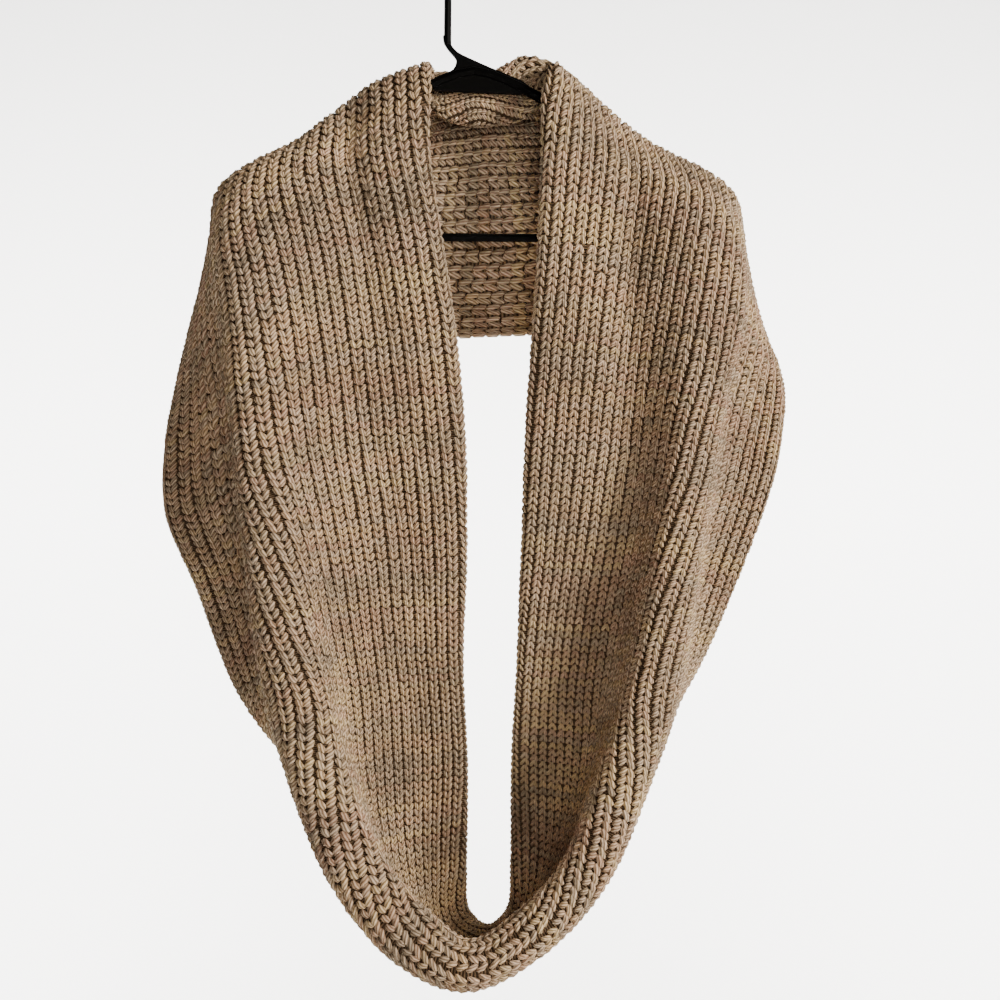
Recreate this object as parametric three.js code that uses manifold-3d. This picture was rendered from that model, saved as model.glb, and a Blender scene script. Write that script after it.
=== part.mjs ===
// Infinity scarf in a chunky one-by-one rib, hung over a moulded clothes hanger.
// Millimetres, +Z up, +X to the viewer's right, +Y away from the viewer.
// The origin is the point inside the top of the hook that bears on a rail.

import * as THREE from "three";
import { mergeVertices } from "three/addons/utils/BufferGeometryUtils.js";
import Module from "manifold-3d";

// Knitted band. A course is a row of stitches across the band.
const RIB_COUNT = 28;
const RIB_CREST = 4.2; // from the middle of the cloth to the top of a rib
const RIB_GROOVE = 2.0; // from the middle of the cloth to the groove between ribs
const PLAIN_SIDE = 3.0; // from the middle of the cloth to its other face
const SECTION_STEP = 40; // longest step along the band
const TURNING_SECTIONS = ["left_top", "right_nape"]; // after these the band turns over an arm
const TURNING_STEPS = 5;
const FEWEST_STEPS = 2; // from one section to the next
const SEAM_GAP = 0.8; // between two stretches of the band
const SAMPLES_PER_RIB = 6;
const FINE_PER_SAMPLE = 2;
const SOFTENING_PASSES = 2;
const SOFTENING_REACH = 2; // samples on each side
const LENGTH_PIECES = 24; // chords that measure a length along the band
const PROBE = 0.02; // of a section, to find the direction along the band
const PLACE_TOLERANCE = 1e-6;

// Hanger
const HOOK_INNER_RADIUS = 19.1;
const HOOK_WIRE_RADIUS = 3.1;
const HOOK_BALL_RADIUS = 3.7;
const HOOK_END_ANGLE = -30; // degrees from level, on the open side
const HOOK_STEPS = 18;
const STEM_POINTS = 3;
const STEM_STEPS = 8;
const STEM_FOOT = -77;
const ARM_RADIUS = 4.2;
const ARM_STEPS = 40;
const BAR_RADIUS = 3.4;
const BAR_DROP = -237;
const BAR_HALF_LENGTH = 184;
const BAR_OVERLAP = 2; // into the arm at each end
const PLATE_THICKNESS = 3.8;
const HANGER_TILT = 0.4; // degrees, lower on the viewer's right
const ROUND_SIDES = 8; // on each rod

const KNIT_COLOUR = "#ab957b";
const PLASTIC_COLOUR = "#141415";

// The named lines run all along the band: tip is the edge that turns inward, inner is the
// fold beside the opening, ridge and foot bound the outer roll, and hem is the outer edge.
const LINES = ["tip", "turn", "inner", "panel", "hollow", "ridge", "fold", "foot", "hem"];
const ROLL_RISE = [3.5, 5.0]; // in line numbers, where the ribs of the roll begin to open
const ROLL_FALL = [7.0, 8.0];

// A row for each section of the band, from the lowest point up the viewer's left, across the
// back and down the right. Columns: name, how far the ribs of the outer roll stand open,
// then the place of each named line.
const SECTIONS = [
  ["bottom", 1.8, [10, 50, -839], [10, 52, -832], [10, 40, -820], [5, 22, -835], [-1, -8, -838],
    [-4, -50, -809], [-5, -70, -826], [-6, -50, -843], [-5, 40, -857]],
  ["left_bend", 1.8, [-15, 50, -819], [-12, 52, -815], [-8, 40, -806], [-27, 26, -819], [-36, -4, -817],
    [-40, -52, -785], [-58, -64, -810], [-58, -44, -825], [-48, 36, -836]],
  ["left_rim", 1.8, [-29, 46, -769], [-19, 46, -768], [-9, 34, -760], [-43, 34, -772], [-69, 2, -772],
    [-78, -52, -743], [-108, -58, -753], [-109, -34, -768], [-88, 34, -782]],
  ["left_low", 1.7, [-34, 38, -687], [-20, 38, -685], [-8, 25, -680], [-54, 28, -685], [-94, 3, -686],
    [-110, -52, -675], [-141, -50, -678], [-145, -14, -690], [-133, 32, -706]],
  ["left_third", 1.5, [-37, 28, -592], [-22, 28, -591], [-12, 15, -589], [-62, 16, -590], [-111, -4, -590],
    [-134, -48, -589], [-163, -46, -596], [-175, -8, -604], [-195, 10, -617]],
  ["left_half", 1.35, [-35, 16, -499], [-20, 16, -498], [-8, 3, -496], [-65, 4, -498], [-121, -11, -500],
    [-151, -46, -504], [-177, -43, -511], [-188, -4, -517], [-231, 12, -529]],
  ["left_wide", 1.25, [-36, 6, -406], [-21, 6, -405], [-9, -7, -405], [-69, -8, -407], [-128, -17, -414],
    [-164, -42, -424], [-187, -38, -433], [-198, 0, -438], [-258, 15, -465]],
  ["left_chest", 1.25, [-42, -4, -323], [-28, -4, -322], [-16, -17, -324], [-76, -18, -328],
    [-134, -23, -337], [-171, -38, -354], [-193, -34, -365], [-206, 4, -370], [-260, 22, -410]],
  ["left_high", 1.2, [-53, -9, -245], [-39, -9, -245], [-27, -22, -247], [-82, -23, -251], [-138, -25, -265],
    [-177, -33, -283], [-200, -26, -301], [-214, 4, -310], [-254, 32, -363]],
  ["left_yoke", 1.1, [-62, -10, -168], [-49, -10, -167], [-38, -23, -169], [-93, -24, -175],
    [-141, -25, -194], [-183, -26, -218], [-207, -18, -238], [-219, 8, -262], [-245, 42, -318]],
  ["left_front", 1, [-57, -12, -118], [-47, -12, -115], [-36, -22, -114], [-90, -19, -142], [-143, -18, -170],
    [-185, -18, -193], [-208, -11, -214], [-219, 13, -238], [-237, 47, -291]],
  ["left_top", 1, [-53, 6, -103], [-43, 5, -99], [-34, 1, -93], [-89, 0, -115], [-145, 0, -158],
    [-186, 0, -179], [-211, 3, -198], [-217, 22, -221], [-228, 48, -274]],
  ["left_nape", 1, [-34, 11, -118], [-28, 13, -134], [-22, 21, -122], [-25, 24, -94], [-62, 38, -133],
    [-118, 37, -187], [-160, 37, -224], [-182, 40, -256], [-192, 46, -304]],
  ["nape", 1.3, [2, 7, -114], [4, 9, -139], [6, 18, -139], [7, 22, -99], [7, 37, -99],
    [8, 41, -150], [8, 38, -207], [8, 37, -262], [9, 36, -313]],
  ["right_nape", 1, [45, 12, -119], [41, 14, -136], [37, 22, -121], [44, 25, -80], [70, 38, -118],
    [124, 37, -180], [168, 37, -222], [191, 40, -253], [201, 46, -292]],
  ["right_top", 1, [76, 7, -114], [71, 5, -107], [61, 1, -90], [102, 0, -130], [148, 0, -164],
    [187, 0, -182], [211, 3, -200], [220, 22, -221], [228, 48, -274]],
  ["right_front", 1, [76, -11, -130], [65, -11, -127], [56, -22, -123], [101, -18, -152], [149, -15, -182],
    [188, -17, -200], [212, -9, -219], [222, 15, -240], [235, 46, -292]],
  ["right_yoke", 1.1, [80, -10, -172], [66, -10, -170], [56, -23, -169], [102, -24, -176], [151, -22, -198],
    [189, -25, -221], [214, -16, -243], [224, 8, -261], [244, 40, -315]],
  ["right_high", 1.2, [76, -9, -247], [63, -9, -246], [53, -22, -247], [101, -24, -251], [147, -19, -264],
    [188, -28, -283], [214, -20, -298], [224, 2, -310], [258, 28, -354]],
  ["right_chest", 1.25, [72, -4, -324], [59, -4, -323], [48, -17, -324], [97, -20, -328], [142, -14, -336],
    [178, -33, -348], [200, -26, -357], [212, 4, -363], [256, 18, -397]],
  ["right_wide", 1.25, [68, 4, -407], [55, 4, -406], [43, -9, -405], [94, -12, -407], [138, -7, -414],
    [168, -38, -421], [189, -30, -428], [202, 0, -432], [247, 14, -440]],
  ["right_half", 1.35, [65, 14, -498], [51, 14, -498], [40, 1, -496], [89, 2, -498], [128, 0, -501],
    [154, -42, -501], [175, -36, -508], [187, -4, -514], [216, 10, -523]],
  ["right_third", 1.5, [62, 26, -592], [48, 26, -591], [36, 13, -589], [80, 14, -591], [114, 2, -592],
    [136, -47, -589], [159, -44, -594], [169, -12, -604], [180, 10, -602]],
  ["right_low", 1.7, [58, 38, -689], [44, 38, -687], [31, 25, -682], [69, 28, -687], [96, 5, -688],
    [107, -50, -674], [132, -49, -680], [137, -18, -692], [119, 30, -701]],
  ["right_rim", 1.8, [52, 48, -769], [40, 48, -768], [32, 34, -760], [55, 34, -772], [70, 0, -771],
    [78, -52, -743], [98, -58, -756], [100, -34, -768], [77, 34, -782]],
  ["right_bend", 1.8, [36, 50, -817], [33, 52, -814], [28, 40, -806], [31, 26, -819], [34, -4, -817],
    [37, -52, -786], [51, -64, -804], [51, -44, -818], [38, 36, -834]],
];

// Soft folds that run along the ribs. Columns: name, section where the fold starts and its rib
// there, section where it ends and its rib there, half width in ribs, and how far the cloth
// is moved halfway along it.
const FOLDS = [
  ["left_collar_valley", "left_wide", 9.3, "left_nape", 8.2, 1.7, [0, 12, -4]],
  ["left_panel_crease", "left_third", 6.5, "left_high", 13.5, 1.5, [0, 5, 0]],
  ["left_flank_valley", "left_low", 25, "left_front", 25.2, 1.8, [0, 13, 0]],
  ["back_upper_swag", "left_top", 19, "right_top", 19, 2.6, [0, -7, 0]],
  ["back_lower_swag", "left_top", 25, "right_top", 25, 2.2, [0, 6, 0]],
  ["right_collar_valley", "right_top", 9.2, "right_half", 12.5, 1.9, [0, 11, -2]],
  ["right_flank_valley", "right_front", 24.8, "right_third", 25, 1.8, [0, 7, 0]],
];

// The stretches of the band that show. Columns: name, the section where it starts and the part
// of a section past it, the section where it ends and the part past that.
const STRETCHES = [
  ["scarf_left_front", "left_rim", 0, "left_nape", 0.7],
  ["scarf_back", "left_nape", 0.7, "right_nape", -0.7],
  ["scarf_right_front", "right_nape", -0.7, "right_rim", 0],
  ["scarf_bottom", "right_rim", 0, "left_rim", 0],
];

// Centre line of an arm: distance from the hanger's middle, then height
const ARM_LINE = [
  [0, -99], [24, -105.5], [48, -117], [83, -135.5], [114, -154], [150, -175],
  [180, -191.5], [193, -200], [200, -210], [200, -222], [194, -232], [BAR_HALF_LENGTH, BAR_DROP],
];

// Outline of the web between the hook and the arms, as two smooth edges
const WEB_LEFT = [[-26.2, -70], [-25.6, -75], [-23.2, -79.7], [-19.1, -84.7], [-15.6, -88.8], [-15, -92.5],
  [-17.4, -98], [-24, -101.2], [-33, -104.8]];
const WEB_RIGHT = [[48, -118.5], [47, -114], [41.2, -107.9], [28.2, -102.1], [12.5, -95.8], [-3.3, -88.8],
  [-12.9, -84.2], [-17.9, -79.3], [-20, -75], [-20.2, -70]];
const WEB_LOW_LEFT = [-33, -115.5];
const WEB_POINTS = 16;

const matt = { roughness: 0.95, metalness: 0, flatShading: true };
const knit = new THREE.MeshStandardMaterial({ color: KNIT_COLOUR, ...matt });
const plastic = new THREE.MeshStandardMaterial({ color: PLASTIC_COLOUR, roughness: 0.4, metalness: 0 });

// Band

const guides = LINES.map((_, column) => {
  const points = SECTIONS.map((row) => new THREE.Vector3(...row[column + 2]));
  return new THREE.CatmullRomCurve3(points, true, "centripetal");
});

const sectionNumber = (name) => SECTIONS.findIndex((row) => row[0] === name);

// A place along the band, brought back to the first round of it
const wrapped = (place) => ((place % SECTIONS.length) + SECTIONS.length) % SECTIONS.length;

const rollSpread = (place) => {
  const first = Math.floor(wrapped(place));
  const next = (first + 1) % SECTIONS.length;
  return THREE.MathUtils.lerp(SECTIONS[first][1], SECTIONS[next][1], wrapped(place) - first);
};

// Replaces each point by the mean of its neighbours, with the ends held
const soften = (points) => {
  const last = points.length - 1;
  return points.map((_, index) => {
    const reach = Math.min(SOFTENING_REACH, index, last - index);
    const mean = new THREE.Vector3();
    for (let step = -reach; step <= reach; step += 1) {
      mean.add(points[index + step]);
    }
    return mean.divideScalar(2 * reach + 1);
  });
};

// Moves the points of a course by the folds that cross it, each with a rounded bottom
const fold = (points, place) => {
  for (const [, startName, startRib, endName, endRib, halfWidth, depth] of FOLDS) {
    const start = sectionNumber(startName);
    const part = (wrapped(place) - start) / (sectionNumber(endName) - start);
    if (part > 0 && part < 1) {
      const strength = Math.sin(Math.PI * part) ** 2;
      const middle = THREE.MathUtils.lerp(startRib, endRib, part);
      const move = new THREE.Vector3(...depth);
      points.forEach((point, index) => {
        const away = (index / SAMPLES_PER_RIB - middle) / halfWidth;
        point.addScaledVector(move, strength * Math.exp(-away * away));
      });
    }
  }
  return points;
};

// Points across the band at a place counted in sections, SAMPLES_PER_RIB to each rib
const courseAt = (place) => {
  const turn = wrapped(place) / SECTIONS.length;
  const across = guides.map((guide) => guide.getPoint(turn));
  const curve = new THREE.CatmullRomCurve3(across, false, "centripetal");
  const samples = RIB_COUNT * SAMPLES_PER_RIB;
  const fine = samples * FINE_PER_SAMPLE;
  const raw = curve.getPoints(fine);
  const spread = rollSpread(place) - 1;
  const measure = [0];
  for (let index = 1; index <= fine; index += 1) {
    const line = ((index - 0.5) / fine) * (LINES.length - 1);
    const rise = THREE.MathUtils.smoothstep(line, ...ROLL_RISE);
    const fall = THREE.MathUtils.smoothstep(line, ...ROLL_FALL);
    const step = raw[index].distanceTo(raw[index - 1]);
    measure.push(measure[index - 1] + step / (1 + spread * rise * (1 - fall)));
  }
  let points = [];
  let cursor = 1;
  for (let index = 0; index <= samples; index += 1) {
    const wanted = (measure[fine] * index) / samples;
    while (cursor < fine && measure[cursor] < wanted) {
      cursor += 1;
    }
    const part = (wanted - measure[cursor - 1]) / (measure[cursor] - measure[cursor - 1]);
    points.push(new THREE.Vector3().lerpVectors(raw[cursor - 1], raw[cursor], part));
  }
  for (let pass = 0; pass < SOFTENING_PASSES; pass += 1) {
    points = soften(points);
  }
  return fold(points, place);
};

// Mean length of the named lines between two places
const meanLength = (from, to) => {
  const turn = (piece) => wrapped(THREE.MathUtils.lerp(from, to, piece / LENGTH_PIECES)) / SECTIONS.length;
  let length = 0;
  for (const guide of guides) {
    for (let piece = 0; piece < LENGTH_PIECES; piece += 1) {
      length += guide.getPoint(turn(piece)).distanceTo(guide.getPoint(turn(piece + 1)));
    }
  }
  return length / guides.length;
};

// Places of the rows of a stretch, counted in sections
const placesBetween = (first, end) => {
  const last = end > first ? end : end + SECTIONS.length;
  const places = [];
  let start = first;
  while (start < last - PLACE_TOLERANCE) {
    const stop = Math.min(last, Math.floor(start + 1));
    const turning = TURNING_SECTIONS.includes(SECTIONS[Math.floor(wrapped(start))][0]);
    const needed = Math.max(FEWEST_STEPS, Math.ceil(meanLength(start, stop) / SECTION_STEP));
    const steps = turning ? TURNING_STEPS : needed;
    for (let step = 0; step < steps; step += 1) {
      places.push(THREE.MathUtils.lerp(start, stop, step / steps));
    }
    start = stop;
  }
  places.push(last);
  return places;
};

// One row of the wall, the ribbed face and the plain face, moved by a shift along the band
const wallAt = (place, shift) => {
  const middle = courseAt(place);
  const before = courseAt(place - PROBE);
  const after = courseAt(place + PROBE);
  const half = SAMPLES_PER_RIB / 2;
  const ribbed = [];
  const plain = [];
  for (let line = 0; line <= RIB_COUNT * 2; line += 1) {
    const index = line * half;
    const along = new THREE.Vector3().subVectors(after[index], before[index]);
    const low = Math.max(0, index - half);
    const high = Math.min(middle.length - 1, index + half);
    const across = new THREE.Vector3().subVectors(middle[high], middle[low]);
    const normal = new THREE.Vector3().crossVectors(along, across).normalize();
    const centre = middle[index].clone().addScaledVector(along.normalize(), shift);
    const onCrest = line % 2 === 1;
    ribbed.push(centre.clone().addScaledVector(normal, onCrest ? RIB_CREST : RIB_GROOVE));
    if (!onCrest) {
      plain.push(centre.clone().addScaledVector(normal, -PLAIN_SIDE));
    }
  }
  return { ribbed, plain };
};

// Closed wall of a stretch: ribbed face, plain face, both edges and both ends
const stretchGeometry = (first, last) => {
  const places = placesBetween(first, last);
  const inset = new Map([[0, SEAM_GAP / 2], [places.length - 1, -SEAM_GAP / 2]]);
  const rows = places.map((place, index) => wallAt(place, inset.get(index) ?? 0));
  const ribbedLast = RIB_COUNT * 2;
  const rowSize = ribbedLast + 1 + RIB_COUNT + 1;
  const ribbed = (row, line) => row * rowSize + line;
  const plain = (row, rib) => row * rowSize + ribbedLast + 1 + rib;
  const positions = rows.flatMap((row) => [...row.ribbed, ...row.plain].flatMap((point) => point.toArray()));
  const faces = [];
  const quad = (a, b, c, d) => faces.push(a, b, c, a, c, d);
  for (let row = 0; row < rows.length - 1; row += 1) {
    for (let line = 0; line < ribbedLast; line += 1) {
      quad(ribbed(row, line), ribbed(row + 1, line), ribbed(row + 1, line + 1), ribbed(row, line + 1));
    }
    for (let rib = 0; rib < RIB_COUNT; rib += 1) {
      quad(plain(row, rib), plain(row, rib + 1), plain(row + 1, rib + 1), plain(row + 1, rib));
    }
    quad(ribbed(row, 0), plain(row, 0), plain(row + 1, 0), ribbed(row + 1, 0));
    const [hem, nextHem] = [ribbed(row, ribbedLast), ribbed(row + 1, ribbedLast)];
    quad(hem, nextHem, plain(row + 1, RIB_COUNT), plain(row, RIB_COUNT));
  }
  const end = rows.length - 1;
  for (let rib = 0; rib < RIB_COUNT; rib += 1) {
    const line = rib * 2;
    faces.push(ribbed(0, line), ribbed(0, line + 1), plain(0, rib));
    faces.push(ribbed(0, line + 1), plain(0, rib + 1), plain(0, rib));
    faces.push(ribbed(0, line + 1), ribbed(0, line + 2), plain(0, rib + 1));
    faces.push(ribbed(end, line), plain(end, rib), ribbed(end, line + 1));
    faces.push(ribbed(end, line + 1), plain(end, rib), plain(end, rib + 1));
    faces.push(ribbed(end, line + 1), plain(end, rib + 1), ribbed(end, line + 2));
  }
  const geometry = new THREE.BufferGeometry();
  geometry.setAttribute("position", new THREE.Float32BufferAttribute(positions, 3));
  geometry.setIndex(faces);
  geometry.computeVertexNormals();
  return geometry;
};

// Hanger

const wasm = await Module();
wasm.setup();

const MERGE_DISTANCE = 1e-3;

const toSolid = (geometry) => {
  const bare = geometry.clone();
  bare.deleteAttribute("normal");
  bare.deleteAttribute("uv");
  const merged = mergeVertices(bare, MERGE_DISTANCE);
  const mesh = new wasm.Mesh({
    numProp: 3,
    vertProperties: new Float32Array(merged.attributes.position.array),
    triVerts: new Uint32Array(merged.index.array),
  });
  return new wasm.Manifold(mesh);
};

const toGeometry = (solid) => {
  const mesh = solid.getMesh();
  const geometry = new THREE.BufferGeometry();
  geometry.setAttribute("position", new THREE.Float32BufferAttribute(mesh.vertProperties, 3));
  geometry.setIndex([...mesh.triVerts]);
  geometry.computeVertexNormals();
  return geometry;
};

const upright = ([x, z]) => new THREE.Vector3(x, 0, z);

const rodAlong = (path, radius, steps) => {
  const section = new THREE.Shape();
  section.absarc(0, 0, radius, 0, Math.PI * 2);
  return new THREE.ExtrudeGeometry(section, { steps, extrudePath: path, curveSegments: ROUND_SIDES / 2 });
};

// Point on the hook's centre line at an angle from level
const onHook = (angle) => {
  const radius = HOOK_INNER_RADIUS + HOOK_WIRE_RADIUS;
  return upright([radius * Math.cos(angle), radius * Math.sin(angle) - HOOK_INNER_RADIUS]);
};

const hookStart = THREE.MathUtils.degToRad(HOOK_END_ANGLE);

const hookPath = () => {
  const points = [];
  for (let step = 0; step <= HOOK_STEPS; step += 1) {
    points.push(onHook(THREE.MathUtils.lerp(hookStart, Math.PI, step / HOOK_STEPS)));
  }
  const top = onHook(Math.PI);
  for (let step = 1; step <= STEM_POINTS; step += 1) {
    points.push(upright([top.x, THREE.MathUtils.lerp(top.z, STEM_FOOT, step / STEM_POINTS)]));
  }
  return new THREE.CatmullRomCurve3(points);
};

const hookEnd = () => {
  const ball = new THREE.SphereGeometry(HOOK_BALL_RADIUS, ROUND_SIDES, ROUND_SIDES / 2);
  return ball.translate(...onHook(hookStart).toArray());
};

const armPath = () => {
  const right = ARM_LINE.map(upright);
  const left = ARM_LINE.slice(1).reverse().map(([x, z]) => upright([-x, z]));
  return new THREE.CatmullRomCurve3([...left, ...right], false, "centripetal");
};

const barGeometry = () => {
  const length = (BAR_HALF_LENGTH + BAR_OVERLAP) * 2;
  const bar = new THREE.CylinderGeometry(BAR_RADIUS, BAR_RADIUS, length, ROUND_SIDES);
  return bar.rotateZ(Math.PI / 2).translate(0, 0, BAR_DROP);
};

const webGeometry = () => {
  const smooth = (points) => new THREE.SplineCurve(points.map(([x, z]) => new THREE.Vector2(x, z)));
  const outline = new THREE.Shape([
    ...smooth(WEB_LEFT).getPoints(WEB_POINTS),
    new THREE.Vector2(...WEB_LOW_LEFT),
    ...smooth(WEB_RIGHT).getPoints(WEB_POINTS),
  ]);
  const web = new THREE.ExtrudeGeometry(outline, { depth: PLATE_THICKNESS, bevelEnabled: false });
  return web.rotateX(Math.PI / 2).translate(0, PLATE_THICKNESS / 2, 0);
};

const hangerGeometry = () => {
  const hook = toSolid(rodAlong(hookPath(), HOOK_WIRE_RADIUS, HOOK_STEPS + STEM_STEPS));
  const arms = toSolid(rodAlong(armPath(), ARM_RADIUS, ARM_STEPS));
  const pieces = [hookEnd(), barGeometry(), webGeometry()].map(toSolid);
  return toGeometry(pieces.reduce((whole, piece) => whole.add(piece), hook.add(arms)));
};

// Assembly

const scarf = new THREE.Group();
for (const [name, startName, pastStart, endName, pastEnd] of STRETCHES) {
  const first = sectionNumber(startName) + pastStart;
  const last = sectionNumber(endName) + pastEnd;
  const mesh = new THREE.Mesh(stretchGeometry(first, last), knit);
  mesh.name = name;
  scarf.add(mesh);
}

const hanger = new THREE.Mesh(hangerGeometry(), plastic);
hanger.name = "hanger";
hanger.rotation.y = THREE.MathUtils.degToRad(HANGER_TILT);

const part = new THREE.Group();
part.add(scarf, hanger);

export default part;
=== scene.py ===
"""An infinity scarf in chunky rib knit, hung on a moulded hanger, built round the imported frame.

The band of the scarf is one surface through named sections. Each stretch of it is a corrugated
ground sheet, and the stitches of both faces lie on that sheet as plump grains of marl yarn.
"""

import logging
import math
from dataclasses import dataclass, field
from enum import Enum

import bpy
import numpy as np
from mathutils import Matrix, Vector


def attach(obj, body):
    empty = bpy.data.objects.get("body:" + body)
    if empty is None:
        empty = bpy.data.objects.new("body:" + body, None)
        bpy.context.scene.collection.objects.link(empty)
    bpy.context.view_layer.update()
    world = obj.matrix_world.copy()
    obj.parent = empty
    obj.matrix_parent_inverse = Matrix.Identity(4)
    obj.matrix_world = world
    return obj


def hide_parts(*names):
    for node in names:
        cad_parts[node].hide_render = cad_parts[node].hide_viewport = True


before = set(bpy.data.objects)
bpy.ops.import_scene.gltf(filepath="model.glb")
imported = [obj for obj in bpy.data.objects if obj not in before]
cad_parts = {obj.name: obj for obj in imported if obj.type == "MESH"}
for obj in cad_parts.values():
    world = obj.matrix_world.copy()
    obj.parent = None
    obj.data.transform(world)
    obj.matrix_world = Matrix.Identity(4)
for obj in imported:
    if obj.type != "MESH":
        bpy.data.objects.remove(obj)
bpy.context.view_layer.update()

logging.basicConfig(level=logging.INFO, format="%(levelname)s %(message)s")
log = logging.getLogger("scarf")

MM = 0.001
SEED = 20

Array = np.ndarray
Point = tuple[float, float, float]
Range = tuple[float, float]
Numbers = tuple[float, ...]
Socket = bpy.types.NodeSocket
Material = bpy.types.Material
Object = bpy.types.Object


# Named choices


class Face(Enum):
    """The two faces of the rib knit, by the side of the sheet that they lie on."""

    RIBBED = 1
    REVERSE = -1


class Hold(Enum):
    """Ways in which a sheet of cloth is held."""

    HUNG = "hung"
    DRAPED = "draped"


# The band's surface

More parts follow.
